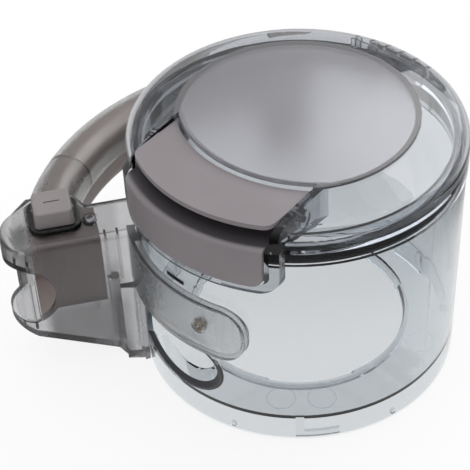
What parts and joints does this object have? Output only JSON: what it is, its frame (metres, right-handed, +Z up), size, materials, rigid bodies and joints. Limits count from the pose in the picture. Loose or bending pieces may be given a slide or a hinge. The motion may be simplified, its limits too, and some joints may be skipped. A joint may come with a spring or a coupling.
{
  "type": "vacuum dust bin",
  "caption": "Clear round dust bin of a bagless vacuum: hinged lid with a front latch, curved side handle with a release button, side inlet and an open ring floor.",
  "frame": {"origin": "centre of the bin's bottom rim, on the bin's axis", "axes": "+Z up the bin's axis to the lid, -Y towards the latch, +Y towards the lid hinge, -X towards the handle"},
  "size_m": [0.2166, 0.2188, 0.141],
  "materials": {
    "clear_smoke": "gloss",
    "taupe": "satin",
    "seal_rubber": "matte",
    "steel": "brushed",
    "brass": "satin",
    "mark_ink": "matte"
  },
  "bodies": {
    "bin": {"bin_body": "clear_smoke", "inlet_seal": "seal_rubber", "fill_mark": "mark_ink", "front_housing": "clear_smoke", "grip_cover": "clear_smoke", "handle_grip": "taupe", "button_bezel": "clear_smoke", "housing_screw": "steel", "arm_insert": "brass", "hinge_pin": "steel", "wall_screws": "steel", "release_spring": "steel"},
    "lid": {"lid_shell": "clear_smoke", "lid_disc": "clear_smoke", "lid_seal": "seal_rubber", "latch_pins": "steel", "latch_spring": "steel"},
    "latch": {"latch_lever": "taupe"},
    "button": {"release_button": "taupe", "release_slide": "taupe"}
  },
  "joints": [
    {"name": "lid_hinge", "type": "hinge", "parent": "bin", "child": "lid", "pos_m": [0, 0.086, 0.1132], "axis": [-1, 0, 0], "range_deg": [0, 100]},
    {"name": "latch_pivot", "type": "hinge", "parent": "lid", "child": "latch", "pos_m": [0, -0.05029, 0.1295], "axis": [-1, 0, 0], "range_deg": [0, 10], "stiffness_Nm_per_rad": 0.3, "springref_deg": -17.19},
    {"name": "button_press", "type": "slide", "parent": "bin", "child": "button", "axis": [0, 0, -1], "range_m": [0, 0.0045], "stiffness_N_per_m": 400, "springref_m": -0.004, "deforming": ["release_spring"]}
  ]
}
